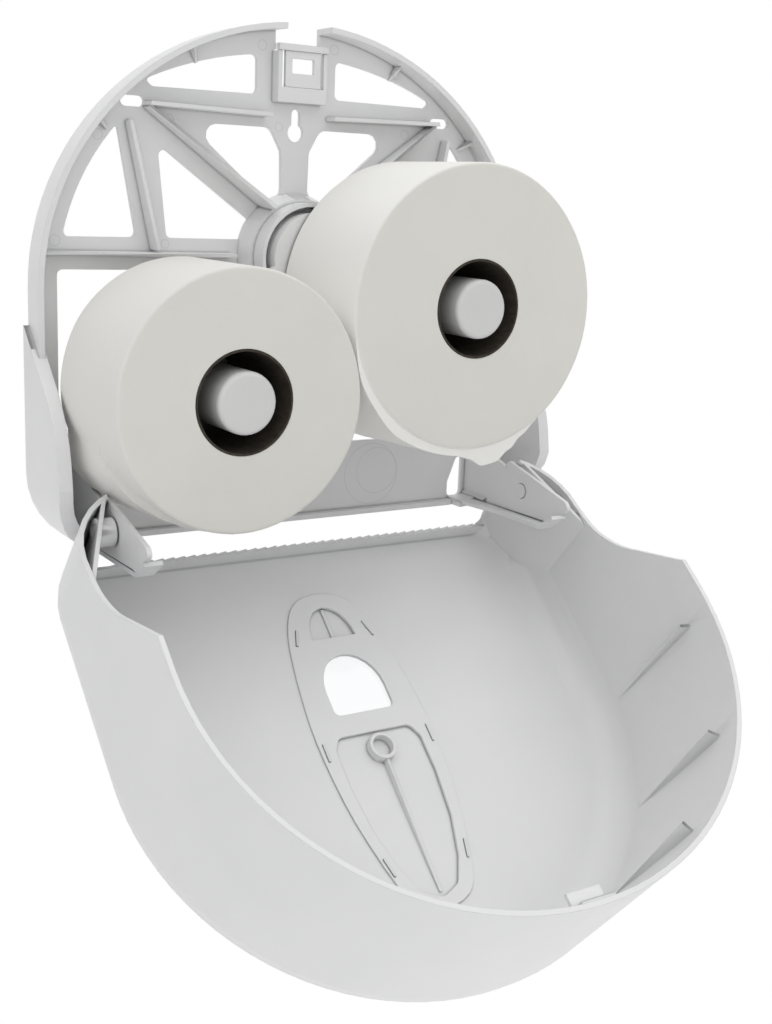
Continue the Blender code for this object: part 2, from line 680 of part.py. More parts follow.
def build_carrier(look, parent, pivot):
    carrier = prism_y(circle(HUB, DRUM_RADIUS, ROUND_STEPS), ARM_BACK_Y, ARM_FRONT_Y)
    for centre in (LEFT_ROLL, RIGHT_ROLL):
        seat = prism_y(circle(centre, ARM_END_RADIUS, SMALL_STEPS), ARM_BACK_Y, ARM_FRONT_Y)
        fuse(carrier, arm_bar(centre), seat)
    bearing = HUB_BORE - RUNNING_GAP
    bearing_y = -COUNTERBORE_DEPTH - DRUM_BEARING
    inner = DRUM_RADIUS - DRUM_WALL
    front_y = ARM_BACK_Y - OVERRUN
    drum = turned([(DRUM_RADIUS, front_y), (DRUM_RADIUS, bearing_y), (bearing, bearing_y),
                   (bearing, -COUNTERBORE_DEPTH), (inner, -COUNTERBORE_DEPTH), (inner, front_y)],
                  HUB, ROUND_STEPS)
    return finish(fuse(carrier, drum), "roll_carrier", look, parent, pivot, pivot)


def build_retainer(look, parent, pivot):
    face_y = -COUNTERBORE_DEPTH + FIT_GAP
    back_y = face_y + RING_THICKNESS
    rim = COUNTERBORE_RADIUS - RUNNING_GAP
    spigot = DRUM_RADIUS - DRUM_WALL - FIT_GAP
    ring = turned([(RING_BORE, back_y), (RING_BORE, face_y - RING_SPIGOT), (spigot, face_y - RING_SPIGOT),
                   (spigot, face_y), (rim, face_y), (rim, back_y)], HUB, ROUND_STEPS)
    return finish(ring, "carrier_retaining_ring", look, parent, pivot, pivot)


def build_spindle(name, centre, look, parent, origin):
    foot_y = ARM_FRONT_Y - FIT_GAP
    edge = SPINDLE_EDGE
    corner = arc((SPINDLE_RADIUS - edge, SPINDLE_TIP_Y + edge), edge, edge, 0, -90, 4)
    bore = SPINDLE_RADIUS - SPINDLE_WALL
    inside_y = SPINDLE_TIP_Y + SPINDLE_CAP
    profile = [(bore, foot_y), (SPINDLE_RADIUS, foot_y)] + corner
    profile += [(0, SPINDLE_TIP_Y)]
    profile = [(0, inside_y), (bore, inside_y)] + profile
    body = turned(profile, centre, SMALL_STEPS * 3 // 2, closed=False)
    fins = []
    tip = CORE_BORE - FIN_GAP
    for index in range(FIN_COUNT):
        angle = math.tau * (index + 0.5) / FIN_COUNT
        out = Vector((math.cos(angle), 0, math.sin(angle)))
        side = Vector((-math.sin(angle), 0, math.cos(angle))) * (FIN_WALL / 2)
        middle = Vector((centre[0], 0, centre[1]))
        near = SPINDLE_RADIUS - SPINDLE_WALL / 2
        corners = [(near, foot_y), (tip, foot_y), (tip, foot_y - FIN_LENGTH / 2), (near, foot_y - FIN_LENGTH)]
        rings = []
        for sign in (-1, 1):
            rings.append([middle + out * radius + Vector((0, y, 0)) + side * sign for radius, y in corners])
        fins.append(loft(rings))
    fuse(body, *fins)
    pivot = (centre[0], 0, centre[1])
    return finish(body, name, look, parent, origin, pivot)


def build_core(name, centre, look, parent, pivot):
    front = ROLL_FRONT_Y - CORE_PROUD
    back = ROLL_BACK_Y + CORE_PROUD
    core = turned([(CORE_BORE, back), (CORE_RADIUS, back), (CORE_RADIUS, front), (CORE_BORE, front)],
                  centre, ROUND_STEPS)
    return finish(core, name, look, parent, pivot, pivot)


def build_tissue(name, centre, radius, look, parent, pivot):
    edge = TISSUE_EDGE
    bore = CORE_RADIUS + FIT_GAP
    front = arc((radius - edge, ROLL_FRONT_Y + edge), edge, edge, -90, 0, 2)
    back = arc((radius - edge, ROLL_BACK_Y - edge), edge, edge, 0, 90, 2)
    roll = turned([(bore, ROLL_BACK_Y), (bore, ROLL_FRONT_Y)] + front + back, centre, ROLL_STEPS)
    return finish(roll, name, look, parent, pivot, pivot)


def cover_solid(offset, rim_y, fillet, front_y):
    rings = [[(x, rim_y, z) for x, z in arch_outline(offset)]]
    for step in range(FILLET_STEPS + 1):
        angle = math.radians(90 * step / FILLET_STEPS)
        inset = fillet * (1 - math.cos(angle))
        y = front_y + fillet * (1 - math.sin(angle))
        rings.append([(x, y, z) for x, z in arch_outline(offset, inset, inset * FLOOR_FILLET_SHARE)])
    return loft(rings)


def web(sign):
    # Inner wall of the hinge ear, it closes off the rounded lower corner
    top = Vector(WEB_TOP)
    foot = Vector(WEB_FOOT)
    side = (foot - top).orthogonal().normalized() * (WEB_WALL / 2)
    corners = [top + side, top - side, foot - side, foot + side]
    return prism_y([(sign * point.x, point.y) for point in corners], EAR_BACK_Y, -BODY_DEPTH)


def side_rib(angle, start_y):
    # Long wedge on the cover's side wall, wide at the rim end and pointed at the front
    half = ARCH_HALF_WIDTH + COVER_OFFSET - WALL / 2
    rise = ARCH_RISE + COVER_OFFSET - WALL / 2
    foot = Vector((half * math.cos(math.radians(angle)), rise * math.sin(math.radians(angle))))
    inward = -Vector((foot.x / half ** 2, foot.y / rise ** 2)).normalized()
    side = inward.orthogonal() * (SIDE_RIB_WALL / 2)
    rings = []
    for sign in (-1, 1):
        near = foot + side * sign
        far = near + inward * (SIDE_RIB_REACH + WALL / 2)
        rings.append([(near.x, -start_y, near.y), (far.x, -start_y, far.y),
                      (near.x, SIDE_RIB_END_Y, near.y)])
    return loft(rings)


def tear_lip():
    # Bent strip along the lower edge of the panel, its free edge is a row of saw teeth
    front_y = PANEL_Y - WALL / 2
    tip_y = PANEL_Y + LIP_REACH
    profile = [(front_y, FOLD_Z), (front_y, FOLD_Z + LIP_WALL), (tip_y, FOLD_Z + LIP_RISE + LIP_WALL / 2),
               (tip_y, FOLD_Z + LIP_RISE - LIP_WALL / 2)]
    lip = prism_x(profile, -LIP_HALF_WIDTH, LIP_HALF_WIDTH)
    pitch = 2 * FOLD_HALF_WIDTH / TOOTH_COUNT
    edge = [(-LIP_HALF_WIDTH - OVERRUN, tip_y - TOOTH_DEPTH)]
    for index in range(TOOTH_COUNT):
        left = -FOLD_HALF_WIDTH + index * pitch
        edge += [(left, tip_y - TOOTH_DEPTH), (left + pitch * TOOTH_SHARE, tip_y)]
    edge.append((FOLD_HALF_WIDTH, tip_y - TOOTH_DEPTH))
    edge.append((LIP_HALF_WIDTH + OVERRUN, tip_y - TOOTH_DEPTH))
    far_y = tip_y + TOOTH_DEPTH
    edge += [(LIP_HALF_WIDTH + OVERRUN, far_y), (-LIP_HALF_WIDTH - OVERRUN, far_y)]
    return carve(lip, prism_z(edge, FOLD_Z - LIP_WALL, FOLD_Z + LIP_RISE * 2))


def latch_tab():
    top_z = ARCH_RISE + FIT_GAP + WALL / 2
    low_z = ARCH_RISE - TAB_DROP
    start_y = COVER_RIM_Y - TAB_WALL
    end_y = start_y - TAB_DEPTH
    bend_z = top_z - TAB_WALL * 2
    outline = [(start_y, top_z), (end_y, top_z), (end_y, low_z), (end_y + TAB_WALL, low_z),
               (end_y + TAB_WALL, bend_z), (start_y, bend_z)]
    return prism_x(outline, -TAB_HALF_WIDTH, TAB_HALF_WIDTH)


def teardrop(shrink):
    half = smooth_curve(trim_points(TRIM_SHARES), 3)
    full = half[:-1] + [(-x, z) for x, z in reversed(half[1:])]
    across = 1 - shrink / TRIM_HALF_WIDTH
    along = 1 - shrink / TRIM_RISE
    return [(x * across, z * along) for x, z in full]


def large_hole():
    half = trim_points(LARGE_HOLE_SHARES)
    return rounded(half + [(-x, z) for x, z in reversed(half[:-1])], LARGE_HOLE_CORNER, 3)


def half_oval(shrink=0):
    return arc((0, OVAL_FLAT_Z - shrink), OVAL_HALF_WIDTH - shrink, OVAL_HEIGHT - 2 * shrink, 180, 360, 12)


def sight_outline(shrink):
    # D shape with its flat side up
    half = SIGHT_HALF_WIDTH - shrink
    flat_z = SIGHT_FLAT_Z - shrink
    outline = arc((0, SIGHT_SIDE_Z), half, SIGHT_LOW_HEIGHT - shrink, 180, 360, 12)
    return rounded(outline + [(half, flat_z), (-half, flat_z)], SIGHT_CORNER - shrink, 3)


def clip_outline(place, sign, grow):
    centre = Vector(trim_points([place])[0])
    lean = Matrix.Rotation(math.radians(place[2]), 2)
    half_width = CLIP_WIDTH / 2 + grow
    half_length = CLIP_LENGTH / 2 + grow
    corners = [(-half_width, -half_length), (half_width, -half_length), (half_width, half_length),
               (-half_width, half_length)]
    points = [centre + lean @ Vector(corner) for corner in corners]
    return [(sign * point.x, point.y) for point in points]


def build_cover(look, parent, hinge):
    half_wall = WALL / 2
    cover = cover_solid(COVER_OFFSET, COVER_RIM_Y, COVER_FILLET, -BODY_DEPTH)
    carve(cover, cover_solid(FIT_GAP, COVER_RIM_Y + OVERRUN, COVER_FILLET - WALL, PANEL_Y))
    middle = cover_solid(COVER_OFFSET - half_wall, COVER_RIM_Y, COVER_FILLET - half_wall,
                         -BODY_DEPTH + half_wall)
    webs = fuse(web(1), web(-1))
    boss_start = EAR_INNER_X + FIT_GAP
    for sign in (-1, 1):
        start_x = sign * boss_start
        end_x = sign * (boss_start + BOSS_REACH)
        fuse(webs, rod_x((HINGE_Y, HINGE_Z), BOSS_RADIUS, start_x, end_x))
    for angle, start_y in SIDE_RIBS:
        fuse(webs, side_rib(angle, start_y), side_rib(180 - angle, start_y))
    keep_inside(webs, middle)
    fuse(cover, webs)
    far_x = ARCH_HALF_WIDTH + COVER_OFFSET + OVERRUN
    deep_z = -SIDE_DROP - COVER_OFFSET - OVERRUN
    edge = smooth_curve(side_points(EAR_EDGE_SHARES)) + [(EAR_BACK_Y, FOLD_Z), (EAR_BACK_Y, deep_z)]
    side_cut = prism_x([(OVERRUN, deep_z), (OVERRUN, edge[0][1])] + edge, -far_x, far_x)
    floor_outline = [(-EAR_INNER_X, deep_z), (EAR_INNER_X, deep_z), (EAR_INNER_X, EAR_FOOT_Z),
                     (FOLD_HALF_WIDTH, FOLD_Z), (-FOLD_HALF_WIDTH, FOLD_Z), (-EAR_INNER_X, EAR_FOOT_Z)]
    floor_cut = prism_y(floor_outline, OVERRUN, -BODY_DEPTH - OVERRUN)
    holes = [rod_x((HINGE_Y, HINGE_Z), PIN_RADIUS + FIT_GAP, sign * ARM_X,
                   sign * (boss_start + BOSS_REACH + OVERRUN)) for sign in (-1, 1)]
    carve(cover, side_cut, floor_cut, *holes)
    fuse(cover, tear_lip(), latch_tab())
    pad = prism_y(teardrop(0), PANEL_Y - WALL / 2, PANEL_Y + TRIM_PAD)
    fuse(cover, pad)
    recess_y = -BODY_DEPTH + TRIM_RECESS
    recess = prism_y(teardrop(TRIM_BORDER), -BODY_DEPTH - OVERRUN, recess_y)
    inner_y = PANEL_Y + TRIM_PAD + OVERRUN
    openings = [recess]
    for outline in (large_hole(), half_oval(), sight_outline(SIGHT_LEDGE)):
        openings.append(prism_y(outline, -BODY_DEPTH, inner_y))
    for place in CLIP_SHARES:
        for sign in (-1, 1):
            openings.append(prism_y(clip_outline(place, sign, 0), -BODY_DEPTH, inner_y))
    carve(cover, *openings)
    return finish(cover, "front_cover", look, parent, hinge, hinge)


def build_trim(look, parent, hinge):
    back_y = -BODY_DEPTH + TRIM_WALL
    trim = prism_y(teardrop(TRIM_BORDER + FIT_GAP), -BODY_DEPTH, back_y)
    carve(trim, prism_y(sight_outline(0), -BODY_DEPTH - OVERRUN, back_y + OVERRUN))
    clip_end = PANEL_Y + TRIM_PAD + CLIP_PROUD
    parts = []
    for place in CLIP_SHARES:
        for sign in (-1, 1):
            parts.append(prism_y(clip_outline(place, sign, -FIT_GAP), back_y - TRIM_WALL / 2, clip_end))
    boss_y = back_y + RING_BOSS_HEIGHT
    start_y = back_y - TRIM_WALL / 2
    bore = RING_BOSS_RADIUS - RING_BOSS_WALL
    boss = [(bore, start_y), (RING_BOSS_RADIUS, start_y), (RING_BOSS_RADIUS, boss_y), (bore, boss_y)]
    parts.append(turned(boss, (0, RING_BOSS_Z), SMALL_STEPS))
    half = TRIM_RIB_WALL / 2
    rib_foot_z = RING_BOSS_Z + RING_BOSS_RADIUS - RING_BOSS_WALL / 2
    rib_profile = [(start_y, rib_foot_z), (boss_y - RING_BOSS_WALL / 2, rib_foot_z),
                   (back_y + RING_BOSS_WALL / 2, TRIM_RIB_TOP_Z), (start_y, TRIM_RIB_TOP_Z)]
    parts.append(prism_x(rib_profile, -half, half))
    oval_top_z = OVAL_FLAT_Z - FIT_GAP * 2
    oval_low_z = OVAL_FLAT_Z - OVAL_HEIGHT + OVERRUN
    oval_rib = [(start_y, oval_top_z), (PANEL_Y, oval_top_z), (PANEL_Y, oval_low_z), (start_y, oval_low_z)]
    parts.append(prism_x(oval_rib, -half, half))
    fuse(trim, *parts)
    return finish(trim, "front_trim", look, parent, hinge, hinge)


def build_lens(look, parent, hinge):
    back_y = -BODY_DEPTH + TRIM_RECESS - FIT_GAP
    lens = prism_y(sight_outline(FIT_GAP), back_y - LENS_WALL, back_y)
    return finish(lens, "sight_window", look, parent, hinge, hinge)


def build_pin(name, sign, look, parent, hinge):
    start = ARM_X - OVERRUN
    end = EAR_INNER_X + BOSS_REACH
    pin = rod_x((HINGE_Y, HINGE_Z), PIN_RADIUS, sign * start, sign * end)
    return finish(pin, name, look, parent, hinge, hinge)


def main():
    for old in list(bpy.data.objects):
        bpy.data.objects.remove(old)
    white = material("white_plastic", (0.80, 0.81, 0.82), 0.38)
    bright = material("clear_plastic", (0.90, 0.92, 0.93), 0.08)
    paper = material("tissue_paper", (0.88, 0.88, 0.86), 0.95)
    card = material("cardboard", (0.16, 0.13, 0.11), 0.9)

    frame = anchor("wall_frame", (0, 0, -MOUNT_RISE))
    build_chassis(white, frame)
    build_latch(white, frame)

    hub_pivot = (0, 0, HUB_Z)
    carrier = anchor("carrier_axis", hub_pivot, frame)
    build_carrier(white, carrier, hub_pivot)
    build_retainer(white, carrier, hub_pivot)
    rolls = (("left", LEFT_ROLL, LEFT_TISSUE_RADIUS), ("right", RIGHT_ROLL, RIGHT_TISSUE_RADIUS))
    for side, centre, radius in rolls:
        build_spindle("spindle_" + side, centre, white, carrier, hub_pivot)
        pivot = (centre[0], 0, centre[1])
        spin = anchor("roll_axis_" + side, Vector(pivot) - Vector(hub_pivot), carrier)
        build_core("roll_core_" + side, centre, card, spin, pivot)
        build_tissue("tissue_roll_" + side, centre, radius, paper, spin, pivot)

    hinge = (0, HINGE_Y, HINGE_Z)
    cover_axis = anchor("cover_axis", hinge, frame, OPEN_ANGLE)
    build_cover(white, cover_axis, hinge)
    build_trim(white, cover_axis, hinge)
    build_lens(bright, cover_axis, hinge)
    build_pin("hinge_pin_left", -1, white, cover_axis, hinge)
    build_pin("hinge_pin_right", 1, white, cover_axis, hinge)


main()
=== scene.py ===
# Looks of a wall dispenser for two toilet rolls, with its front cover swung open
import json
import math

import bmesh
import bpy
from mathutils import Matrix, Vector, noise


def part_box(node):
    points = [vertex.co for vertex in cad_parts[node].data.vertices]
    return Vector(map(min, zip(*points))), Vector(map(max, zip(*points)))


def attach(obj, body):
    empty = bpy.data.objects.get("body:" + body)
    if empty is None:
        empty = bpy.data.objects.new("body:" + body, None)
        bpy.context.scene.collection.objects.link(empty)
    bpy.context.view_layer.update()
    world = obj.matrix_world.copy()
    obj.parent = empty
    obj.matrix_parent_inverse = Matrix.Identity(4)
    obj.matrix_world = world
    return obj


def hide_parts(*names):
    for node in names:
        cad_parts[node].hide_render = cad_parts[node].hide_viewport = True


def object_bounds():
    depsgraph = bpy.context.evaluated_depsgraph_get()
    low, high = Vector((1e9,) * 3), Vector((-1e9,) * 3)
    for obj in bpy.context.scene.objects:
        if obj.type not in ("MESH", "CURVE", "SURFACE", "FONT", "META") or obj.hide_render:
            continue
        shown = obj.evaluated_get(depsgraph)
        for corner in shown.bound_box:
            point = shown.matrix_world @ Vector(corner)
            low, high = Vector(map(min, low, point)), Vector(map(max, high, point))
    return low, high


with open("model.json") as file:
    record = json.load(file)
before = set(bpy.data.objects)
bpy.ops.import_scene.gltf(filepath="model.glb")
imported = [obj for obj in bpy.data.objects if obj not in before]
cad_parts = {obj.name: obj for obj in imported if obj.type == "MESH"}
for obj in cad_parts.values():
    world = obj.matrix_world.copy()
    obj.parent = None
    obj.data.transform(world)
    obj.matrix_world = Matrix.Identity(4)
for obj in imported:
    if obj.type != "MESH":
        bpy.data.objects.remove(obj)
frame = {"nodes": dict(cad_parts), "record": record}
bodyOf = {node: body for body, nodes in frame["record"]["behaviour"]["bodies"].items() for node in nodes}
cadBounds = [list(corner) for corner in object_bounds()]
print("frame loaded")


def addNode(tree, kind, **values):
    node = tree.nodes.new("ShaderNode" + kind)
    for key, value in values.items():
        setattr(node, key, value)
    return node


def newMaterial(name):
    made = bpy.data.materials.new(name)
    made.use_nodes = True
    tree = made.node_tree
    tree.nodes.clear()
    output = addNode(tree, "OutputMaterial")
    shader = addNode(tree, "BsdfPrincipled")
    tree.links.new(shader.outputs[0], output.inputs[0])
    return made, tree, shader


def noiseOn(tree, coords, kind):
    # kind = (scale, detail, roughness)
    scale, detail, roughness = kind
    grain = addNode(tree, "TexNoise")
    grain.inputs["Scale"].default_value = scale
    grain.inputs["Detail"].default_value = detail
    grain.inputs["Roughness"].default_value = roughness
    tree.links.new(coords, grain.inputs["Vector"])
    return grain.outputs["Fac"]


def rampTo(tree, factor, stops, low, high):
    # Colour low up to the first stop, high from the second on
    ramp = addNode(tree, "ValToRGB")
    for element, place, colour in zip(ramp.color_ramp.elements, stops, (low, high)):
        element.position = place
        element.color = (*colour, 1)
    tree.links.new(factor, ramp.inputs["Fac"])
    return ramp.outputs["Color"]


def spread(tree, factor, ends):
    low, high = ends
    span = addNode(tree, "MapRange")
    span.inputs["To Min"].default_value = low
    span.inputs["To Max"].default_value = high
    tree.links.new(factor, span.inputs["Value"])
    return span.outputs["Result"]


def bumpFrom(tree, height, kind, normal=None):
    # kind = (strength, depth), on top of the normal given
    strength, distance = kind
    bump = addNode(tree, "Bump")
    bump.inputs["Strength"].default_value = strength
    bump.inputs["Distance"].default_value = distance
    tree.links.new(height, bump.inputs["Height"])
    if normal:
        tree.links.new(normal, bump.inputs["Normal"])
    return bump.outputs["Normal"]


plasticLook = {
    "pale": (0.805, 0.805, 0.81),    # fresh moulded white
    "dull": (0.775, 0.777, 0.782),   # where it has dulled a little
    "toneStops": (0.35, 0.65),
    "tone": (9.0, 4.0, 0.6),         # scale, detail and roughness of each noise
    "rub": (63.0, 5.0, 0.65),        # handling, which changes the gloss
    "gloss": (0.30, 0.42),           # roughness, from polished to rubbed
    "grain": (1400.0, 2.0, 0.5),     # spark-eroded mould texture
    "grainBump": (0.3, 0.00004),     # strength and depth of each bump
    "sink": (22.0, 1.0, 0.5),        # slow waves of the moulded wall
    "sinkBump": (0.25, 0.0006),
    "edgeRadius": 0.0006,            # rounding that sharp edges show
    "edgeSamples": 4,
    "creaseShade": (0.34, 0.34, 0.35),      # painted shade: colour darkened in corners and seams
    "unshaded": (1, 1, 1),
    "creaseShadeStops": (0.25, 0.8),
    "creaseShadeReach": 0.0028,
    "creaseShadeSamples": 6,
    "bending": 1.5,                  # how much it bends light
    "shine": 0.42,
}
spindleLook = dict(plasticLook, pale=(0.70, 0.70, 0.695), dull=(0.665, 0.665, 0.66))
ringMarks = (
    # (x, z, radius) of round tool marks on the flat plate, in the frame's metres: two large ones on the
    # band under the rolls, then small ones beside the ribs
    (0.071, -0.201, 0.0162),
    (0.0665, -0.203, 0.0215),
    (-0.0246, 0.0755, 0.003),
    (0.0272, 0.0770, 0.003),
    (0.0735, 0.0655, 0.0032),
    (-0.0870, 0.0270, 0.0032),
    (-0.0119, 0.0270, 0.0026),
    (0.0830, 0.0275, 0.0030),
    (-0.1320, 0.0160, 0.0030),
    (-0.1590, -0.0460, 0.0032),
    (-0.0892, -0.0470, 0.0026),
)
markLook = {
    "line": 0.00045,                 # width of a mark's line
    "shade": (0.84, 0.84, 0.84, 1),  # how dark it shows
}


def ringMask(tree, coords, mark, line):
    # 1 on a thin circle about an axis along Y, 0 elsewhere
    x, z, radius = mark
    fromCentre = addNode(tree, "Mapping", vector_type="POINT")
    fromCentre.inputs["Location"].default_value = (-x, 0, -z)
    fromCentre.inputs["Scale"].default_value = (1, 0, 1)
    tree.links.new(coords, fromCentre.inputs["Vector"])
    distance = addNode(tree, "VectorMath", operation="LENGTH")
    tree.links.new(fromCentre.outputs["Vector"], distance.inputs[0])
    near = addNode(tree, "Math", operation="COMPARE")
    near.inputs[1].default_value = radius
    near.inputs[2].default_value = line / 2
    tree.links.new(distance.outputs["Value"], near.inputs[0])
    return near.outputs[0]


def makePlastic(name, look, marks=()):
    made, tree, shader = newMaterial(name)
    coords = addNode(tree, "TexCoord").outputs["Object"]
    colour = rampTo(tree, noiseOn(tree, coords, look["tone"]), look["toneStops"], look["dull"], look["pale"])
    for mark in marks:
        shaded = addNode(tree, "Mix", data_type="RGBA", blend_type="MULTIPLY")
        shaded.inputs["B"].default_value = markLook["shade"]
        tree.links.new(ringMask(tree, coords, mark, markLook["line"]), shaded.inputs["Factor"])
        tree.links.new(colour, shaded.inputs["A"])
        colour = shaded.outputs["Result"]
    # Painted shade: occlusion darkens the colour in corners, seams and recesses, where shade falls
    hidden = addNode(tree, "AmbientOcclusion", samples=look["creaseShadeSamples"])
    hidden.inputs["Distance"].default_value = look["creaseShadeReach"]
    creaseShade = rampTo(tree, hidden.outputs["AO"], look["creaseShadeStops"], look["creaseShade"], look["unshaded"])
    creaseShaded = addNode(tree, "Mix", data_type="RGBA", blend_type="MULTIPLY")
    creaseShaded.inputs["Factor"].default_value = 1.0
    tree.links.new(colour, creaseShaded.inputs["A"])
    tree.links.new(creaseShade, creaseShaded.inputs["B"])
    tree.links.new(creaseShaded.outputs["Result"], shader.inputs["Base Color"])
    rub = noiseOn(tree, coords, look["rub"])
    tree.links.new(spread(tree, rub, look["gloss"]), shader.inputs["Roughness"])
    edge = addNode(tree, "Bevel", samples=look["edgeSamples"])
    edge.inputs["Radius"].default_value = look["edgeRadius"]
    sink = bumpFrom(tree, noiseOn(tree, coords, look["sink"]), look["sinkBump"], edge.outputs["Normal"])
    grain = bumpFrom(tree, noiseOn(tree, coords, look["grain"]), look["grainBump"], sink)
    tree.links.new(grain, shader.inputs["Normal"])
    shader.inputs["IOR"].default_value = look["bending"]
    shader.inputs["Specular IOR Level"].default_value = look["shine"]
    return made


paperLook = {
    "pale": (0.76, 0.752, 0.705),    # the wound end faces, whose many edges hold some shadow
    "shade": (0.735, 0.728, 0.68),
    "toneStops": (0.3, 0.7),
    "skinStart": 0.0016,             # how far inside the roll's radius the outer winding begins
    "fibre": (420.0, 4.0, 0.7),
    "fibreBump": (0.4, 0.00012),
    "soft": (26.0, 5.0, 0.6),        # slow dents of the soft paper
    "softBump": (0.3, 0.0008),
    "ringScale": 130.0,              # bands of tighter and looser winding
    "ringWander": 2.2,
    "ringDetail": 3.0,
    "ringDetailScale": 0.4,
    "ringShare": 0.06,
    "ringBump": (0.2, 0.00002),
    "roughness": 0.95,
    "shine": 0.15,
    "sheen": 0.08,
    "sheenRoughness": 0.6,
}


def makePaper(name, look, skin, centre, radius):
    # Tissue wound about an axis along Y through centre = (x, z)
    made, tree, shader = newMaterial(name)
    coords = addNode(tree, "TexCoord").outputs["Object"]
    centred = addNode(tree, "Mapping", vector_type="POINT")
    centred.inputs["Location"].default_value = (-centre[0], 0, -centre[1])
    centred.inputs["Scale"].default_value = (1, 0, 1)
    tree.links.new(coords, centred.inputs["Vector"])
    rings = addNode(tree, "TexWave", wave_type="RINGS", rings_direction="Y", wave_profile="SIN")
    rings.inputs["Scale"].default_value = look["ringScale"]
    rings.inputs["Distortion"].default_value = look["ringWander"]
    rings.inputs["Detail"].default_value = look["ringDetail"]
    rings.inputs["Detail Scale"].default_value = look["ringDetailScale"]
    tree.links.new(centred.outputs["Vector"], rings.inputs["Vector"])
    cloud = noiseOn(tree, coords, look["soft"])
    blendTones = addNode(tree, "Mix", data_type="FLOAT")
    blendTones.inputs["Factor"].default_value = look["ringShare"]
    tree.links.new(cloud, blendTones.inputs["A"])
    tree.links.new(rings.outputs["Fac"], blendTones.inputs["B"])
    faceTone = rampTo(tree, blendTones.outputs["Result"], look["toneStops"], look["shade"], look["pale"])
    distance = addNode(tree, "VectorMath", operation="LENGTH")
    tree.links.new(centred.outputs["Vector"], distance.inputs[0])
    outside = addNode(tree, "MapRange")
    outside.inputs["From Min"].default_value = radius - look["skinStart"]
    outside.inputs["From Max"].default_value = radius
    tree.links.new(distance.outputs["Value"], outside.inputs["Value"])
    tone = addNode(tree, "Mix", data_type="RGBA")
    tone.inputs["B"].default_value = (*skin, 1)
    tree.links.new(outside.outputs["Result"], tone.inputs["Factor"])
    tree.links.new(faceTone, tone.inputs["A"])
    tree.links.new(tone.outputs["Result"], shader.inputs["Base Color"])
    wound = bumpFrom(tree, rings.outputs["Fac"], look["ringBump"])
    soft = bumpFrom(tree, cloud, look["softBump"], wound)
    fibre = bumpFrom(tree, noiseOn(tree, coords, look["fibre"]), look["fibreBump"], soft)
    tree.links.new(fibre, shader.inputs["Normal"])
    shader.inputs["Roughness"].default_value = look["roughness"]
    shader.inputs["Specular IOR Level"].default_value = look["shine"]
    shader.inputs["Sheen Weight"].default_value = look["sheen"]
    shader.inputs["Sheen Roughness"].default_value = look["sheenRoughness"]
    return made


boardLook = {
    # Painted shade: both colours are much darker than cardboard, so besides the board's brown they paint the
    # shadow inside the tube
    "darkInShade": (0.034, 0.028, 0.023),
    "warmInShade": (0.075, 0.062, 0.048),
    "toneStops": (0.3, 0.72),
    "drawn": (1, 0.25, 1),           # the fibres run along the tube
    "fibre": (300.0, 5.0, 0.7),
    "fibreBump": (0.4, 0.0003),
    "roughness": 0.88,
    "shine": 0.2,
}


def makeBoard(name, look):
    made, tree, shader = newMaterial(name)
    coords = addNode(tree, "TexCoord").outputs["Object"]
    drawn = addNode(tree, "Mapping", vector_type="POINT")
    drawn.inputs["Scale"].default_value = look["drawn"]
    tree.links.new(coords, drawn.inputs["Vector"])
    fibre = noiseOn(tree, drawn.outputs["Vector"], look["fibre"])
    colour = rampTo(tree, fibre, look["toneStops"], look["darkInShade"], look["warmInShade"])
    tree.links.new(colour, shader.inputs["Base Color"])
    tree.links.new(bumpFrom(tree, fibre, look["fibreBump"]), shader.inputs["Normal"])
    shader.inputs["Roughness"].default_value = look["roughness"]
    shader.inputs["Specular IOR Level"].default_value = look["shine"]
    return made


windowLook = {
    "tint": (0.97, 0.98, 0.985),
    "wave": (60.0, 2.0, 0.5),
    "waveBump": (0.1, 0.0002),
    "gloss": (0.02, 0.09),
    "bending": 1.49,
}


def makeWindow(name, look):
    made, tree, shader = newMaterial(name)
    coords = addNode(tree, "TexCoord").outputs["Object"]
    wave = noiseOn(tree, coords, look["wave"])
    tree.links.new(bumpFrom(tree, wave, look["waveBump"]), shader.inputs["Normal"])
    tree.links.new(spread(tree, wave, look["gloss"]), shader.inputs["Roughness"])
    shader.inputs["Base Color"].default_value = (*look["tint"], 1)
    shader.inputs["Transmission Weight"].default_value = 1.0
    shader.inputs["IOR"].default_value = look["bending"]
    return made


plasticWhite = makePlastic("mouldedWhite", plasticLook)
chassisWhite = makePlastic("mouldedWhiteWithMarks", plasticLook, ringMarks)
spindleGrey = makePlastic("spindlePaleGrey", spindleLook)
clearWindow = makeWindow("clearWindow", windowLook)
# The tube's material carries painted shade of its inside as well as the board's colour
tubeBoardWithShade = makeBoard("tubeBoardWithShade", boardLook)
print("materials made")


meshCare = {
    "merge": 0.000002,     # points closer than this are one
    "flatAngle": 0.2,      # degrees within which faces count as one flat area
    "sharpAngle": 30,      # degrees from which an edge stays sharp
}


def mergedCopy(nodeName):
    # Clean mesh of a solid: its loose triangles joined, and flat areas made one face again
    bm = bmesh.new()
    bm.from_mesh(frame["nodes"][nodeName].data)
    bmesh.ops.remove_doubles(bm, verts=bm.verts, dist=meshCare["merge"])
    bmesh.ops.dissolve_limit(bm, angle_limit=math.radians(meshCare["flatAngle"]), verts=bm.verts,
                             edges=bm.edges)
    return bm


def toPiece(bm, name, look):
    mesh = bpy.data.meshes.new(name)
    bm.to_mesh(mesh)
    bm.free()
    piece = bpy.data.objects.new(name, mesh)
    bpy.context.scene.collection.objects.link(piece)
    mesh.materials.clear()
    mesh.materials.append(look)
    mesh.shade_smooth()
    mesh.set_sharp_from_angle(angle=math.radians(meshCare["sharpAngle"]))
    return piece


def dressNode(nodeName, look):
    piece = toPiece(mergedCopy(nodeName), nodeName + "Moulding", look)
    even = piece.modifiers.new("evenShading", "WEIGHTED_NORMAL")
    even.keep_sharp = True
    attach(piece, bodyOf[nodeName])
    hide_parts(nodeName)


